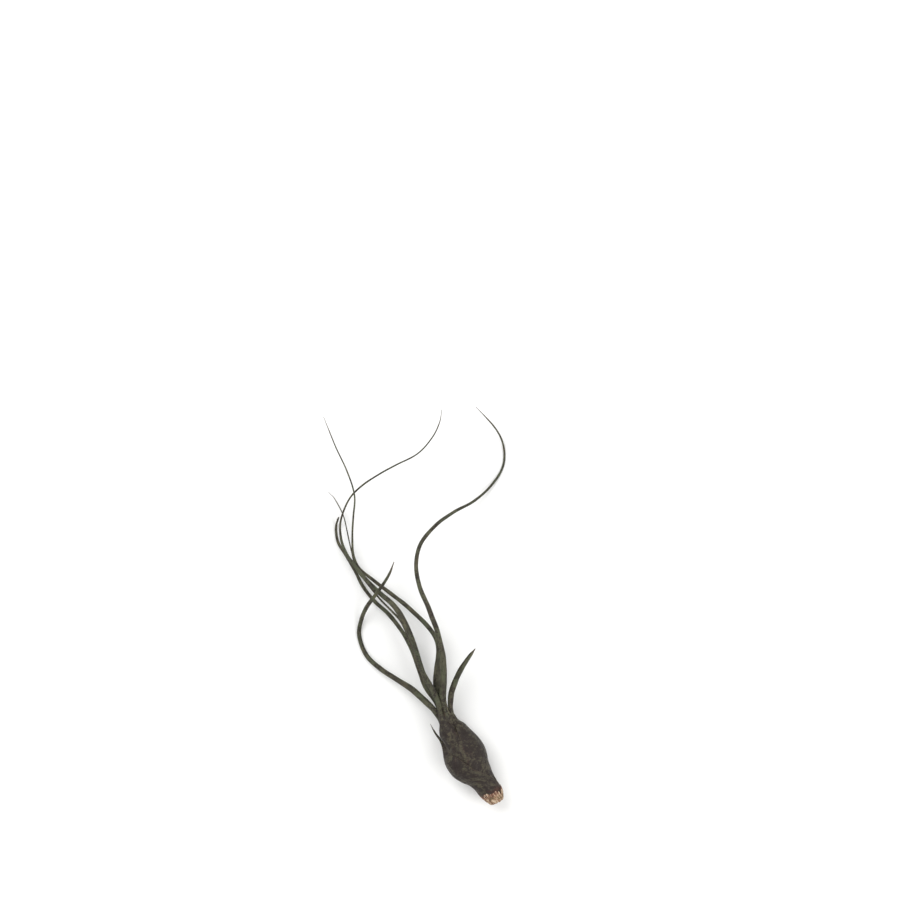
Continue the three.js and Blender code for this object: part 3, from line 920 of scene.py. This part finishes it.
tallLeft = {
    "name": "tall_left", "node": "leaf_tall_left", "order": 6, "facing": 300, "foot": 18,
    "taper": 9, "dryTip": 14, "roll": 130, "twist": 160,
    "blade": [
        [-11.6, 24.6, 8, 2.7], [-12.75, 30.4, 8.4, 3.1], [-12.55, 35.6, 9, 3.1], [-11.95, 41.6, 9.2, 2.6],
        [-11.95, 47, 9, 2.2], [-13.5, 52, 8.8, 2], [-17.7, 57.5, 9, 2], [-25.5, 64.85, 8.3, 1.9],
        [-32.6, 70.35, 7.4, 1.75], [-40, 76, 6.6, 1.45], [-46.5, 81.5, 6.3, 1.25], [-49, 87, 6.3, 1.05],
        [-49.5, 94.5, 6.8, 0.9], [-49, 104.5, 8.4, 0.78], [-48.5, 113.5, 9.6, 0.7], [-52, 124.5, 10, 0.64],
        [-56.7, 134.5, 9.2, 0.56], [-62, 147.5, 6.5, 0.45],
    ],
}

youngThin = {
    "name": "young_thin", "node": "leaf_young_thin", "order": 7, "facing": 60, "foot": 20.5,
    "taper": 7, "dryTip": 8, "twist": -100, "sheathWall": 0.6,
    "sheathRadiusAt": profile([
        [20.5, 2.4], [25, 2.5], [28, 2.1], [30.5, 1.5], [33, 1.2], [40, 1.1], [46, 0.95],
    ]),
    "claspAt": profile([[20.5, 150], [30, 140], [46, 125]]),
    "blade": [
        [-12.6, 24.2, 10.8, 1.8], [-17, 31.4, 11.3, 1.6], [-20.4, 39.8, 11.8, 1.3], [-24, 49.4, 11, 1.1],
        [-28, 58, 9, 0.95], [-32.5, 63, 6.6, 0.86], [-37.5, 68, 5, 0.78], [-44.5, 76.5, 4.4, 0.68],
        [-48, 81.5, 4.3, 0.6], [-50, 89, 4, 0.56], [-52, 98, 3.8, 0.52], [-54, 105.5, 3.3, 0.48],
        [-57.5, 112, 3.8, 0.44], [-60, 114.5, 4.5, 0.4],
    ],
}

leaves = [shortSpike, rightStub, wideSweep, hookedTip, longRight, lowLeft, tallLeft, youngThin]
for leaf in leaves[:-1]:
    addLeaf(leaf, skinOfLeaf)
addLeaf(youngThin, skinOfYoungLeaf)
print("leaves grown")

# What is left of the oldest sheaths: dry paper round the foot of the bulb, torn off a little way up.
# Waves are in cycles for half a scale's width. The second of two is in cycles a millimetre up it.
dryScales = {
    "facings": {"upper": 90, "left": 210, "right": 330},
    "tops": {"upper": 5.4, "left": 6.6, "right": 6.2},
    "tilts": {"upper": -1.3, "left": 0, "right": -0.5},
    "halfAngle": 65,
    "rows": 44,
    "corners": 52,
    "tear": 1.6,
    "raggedness": 0.8,
    "ragWaves": 1.6,
    "teeth": 0.75,
    "toothWaves": 9,
    "fineTeeth": 0.6,
    "fineToothWaves": 23,
    "cornerPower": 5,  # keeps the fall of the torn edge near its corners
    "foot": 0.1,
    "frayed": 0.55,
    "coarseFray": 0.6,
    "coarseFrayWaves": 6,
    "frayWaves": 19,
    "flare": 0.07,
    "flareFrom": 0.45,
    "evenFlare": 0.5,
    "flareWaves": 2.4,
    "ribs": 0.11,
    "ribWaves": (17, 0.25),
    "lumps": 0.22,
    "lumpWaves": (3.1, 0.55),
    "overlap": 0.07,  # between one scale and the next
    "overlapLoss": 0.6,  # the shares that are lost from foot to top
    "ribLoss": 0.5,
    "lumpLoss": 0.7,
    "lowTop": 0.08,
    "wall": 0.3,
    "tornWall": 0.06,
    "wallThins": (0.2, 0.9),  # shares of the way up
    "rooted": 0.22,  # the share that is grown on the stem
    "intoStem": 0.2,
    "firstPattern": 40,
    "patternStep": 11,
    "skinShift": 90,
}


def addDryScale(name, number, scales):
    out = outward(scales["facings"][name])
    side = bulb["heading"].cross(out)
    half = math.radians(scales["halfAngle"])
    pattern = scales["firstPattern"] + scales["patternStep"] * number

    # v goes across the scale, from -1 at one edge to 1 at the other, and t up it, from 0 to 1
    def topAt(v):
        rise = ripple(v * scales["ragWaves"], pattern, 1) * scales["tear"] * scales["raggedness"]
        teeth = abs(ripple(v * scales["toothWaves"], pattern, 2))
        teeth += scales["fineTeeth"] * abs(ripple(v * scales["fineToothWaves"], pattern, 3))
        top = scales["tops"][name] + scales["tilts"][name] * v
        rounded = scales["tear"] * abs(v) ** scales["cornerPower"]
        return top + rise - scales["tear"] * scales["teeth"] * teeth - rounded

    def footAt(v):
        frayed = scales["coarseFray"] * abs(ripple(v * scales["coarseFrayWaves"], pattern, 4))
        frayed += abs(ripple(v * scales["frayWaves"], pattern, 5))
        return scales["foot"] + scales["frayed"] * frayed

    def outerRadius(v, t, a):
        lift = scales["flare"] * smoothstep(scales["flareFrom"], 1, t)
        lift = lift * (scales["evenFlare"] + ripple(v * scales["flareWaves"], pattern, 6))
        across, up = scales["ribWaves"]
        ribs = scales["ribs"] * ripple(v * across, a * up, pattern)
        across, up = scales["lumpWaves"]
        lumps = scales["lumps"] * ripple(v * across, a * up, pattern + 2)
        ribs = ribs * (1 - scales["ribLoss"] * t)
        lumps = lumps * (1 - scales["lumpLoss"] * t)
        over = scales["overlap"] * number * (1 - scales["overlapLoss"] * t) - scales["lowTop"] * t
        return bulbRadiusAt(a)[0] + lift + ribs + lumps + over

    def wallAt(t, toStem):
        wall = mix(scales["wall"], scales["tornWall"], smoothstep(*scales["wallThins"], t))
        return mix(wall, max(toStem, wall), 1 - smoothstep(0, scales["rooted"], t))

    def corner(v, t, depth):
        a = mix(footAt(v), topAt(v), t)
        radius = outerRadius(v, t, a)
        turn = half * v
        r = radius - wallAt(t, radius - stemRadiusAt(a)[0] + scales["intoStem"]) * depth
        return {
            "point": axisPoint(a) + out * (r * math.cos(turn)) + side * (r * math.sin(turn)),
            "skin": (scales["skinShift"] * number + radius * turn, a),
            "blade": 0,
            "dry": t,
            "rim": abs(v),
            "foot": 0,
        }

    outer = [2 * i / scales["corners"] - 1 for i in range(scales["corners"] + 1)]
    inner = outer[::-1]
    loops = []
    for j in range(scales["rows"] + 1):
        t = j / scales["rows"]
        loops.append([corner(v, t, 0) for v in outer] + [corner(v, t, 1) for v in inner])
    piece = wrapSheet("dry_scale_" + name, [closed(loops[0])] + loops + [closed(loops[-1])])
    piece.data.materials.append(paperOfScales)
    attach(piece, "root")
    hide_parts("dry_scale_" + str(number))


for number, name in enumerate(dryScales["facings"], 1):
    addDryScale(name, number, dryScales)
print("dry scales torn")

# The stem, with its cut end. The cut's waves are in cycles a millimetre.
cutStem = {
    "corners": 64,
    "faceRings": 12,
    "sideStep": 0.5,
    "top": 23.5,
    "crown": 0.3,
    "roughness": 0.38,
    "roughWaves": 1.1,
    "fineRoughness": 0.7,
    "fineWaves": 3.2,
    "roughFrom": 0.25,  # shares of the radius
    "edgeFrom": 0.8,
    "barkColour": (0.78, 0.95),
    "edge": 0.45,
    "bark": 0.13,
    "barkWavesRound": 2.2,
    "barkWavesAlong": 0.5,
}


def stemSpots(stem):  # place along the axis, and share of the radius there: over the cut, then up
    steps = math.ceil(stem["top"] / stem["sideStep"])
    overCut = [(0, k / stem["faceRings"]) for k in range(stem["faceRings"] + 1)]
    upStem = [(stem["top"] * k / steps, 1) for k in range(1, steps + 1)]
    return overCut + upStem + [(stem["top"] + stem["crown"], 0)]


def stemCorner(stem, a, share, turn):
    radius = stemRadiusAt(a)[0] * share
    x = radius * math.cos(turn)
    y = radius * math.sin(turn)
    back = 0
    if a == 0:
        rough = ripple(x * stem["roughWaves"], y * stem["roughWaves"], 3)
        rough += stem["fineRoughness"] * ripple(x * stem["fineWaves"], y * stem["fineWaves"], 8)
        back = stem["roughness"] * rough * min(share / stem["roughFrom"], 1)
        back += stem["edge"] * smoothstep(stem["edgeFrom"], 1, share)
    roundwise = stem["barkWavesRound"]
    ridges = ripple(math.cos(turn) * roundwise, math.sin(turn) * roundwise, a * stem["barkWavesAlong"])
    bark = 1 + stem["bark"] * ridges * share
    return {
        "point": axisPoint(a) + bulb["heading"] * back + bulb["across"] * x * bark + bulb["up"] * y * bark,
        "skin": (radius * turn, a),
        "blade": 0,
        "dry": 0,
        "rim": 1 if a else smoothstep(*stem["barkColour"], share),
        "foot": 0,
    }


def addStem(stem):
    turns = [-math.tau * i / stem["corners"] for i in range(stem["corners"])]
    loops = []
    for a, share in stemSpots(stem):
        loops.append([stemCorner(stem, a, share, turn) for turn in turns])
    piece = wrapSheet("cut_stem", loops)
    piece.data.materials.append(woodOfStem)
    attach(piece, "root")
    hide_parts("stem")


addStem(cutStem)
print("stem cut")

floorSettings = {"size": 3000, "colour": (0.86, 0.86, 0.85, 1), "roughness": 0.85}


def addFloor(settings):
    bm = bmesh.new()
    bmesh.ops.create_grid(bm, x_segments=1, y_segments=1, size=settings["size"] * mm / 2)
    floor = finishPiece("floor", bm)
    material, tree, shader = newMaterial("floor paint")
    shader.inputs["Base Color"].default_value = settings["colour"]
    shader.inputs["Roughness"].default_value = settings["roughness"]
    floor.data.materials.append(material)


addFloor(floorSettings)
print("floor laid")
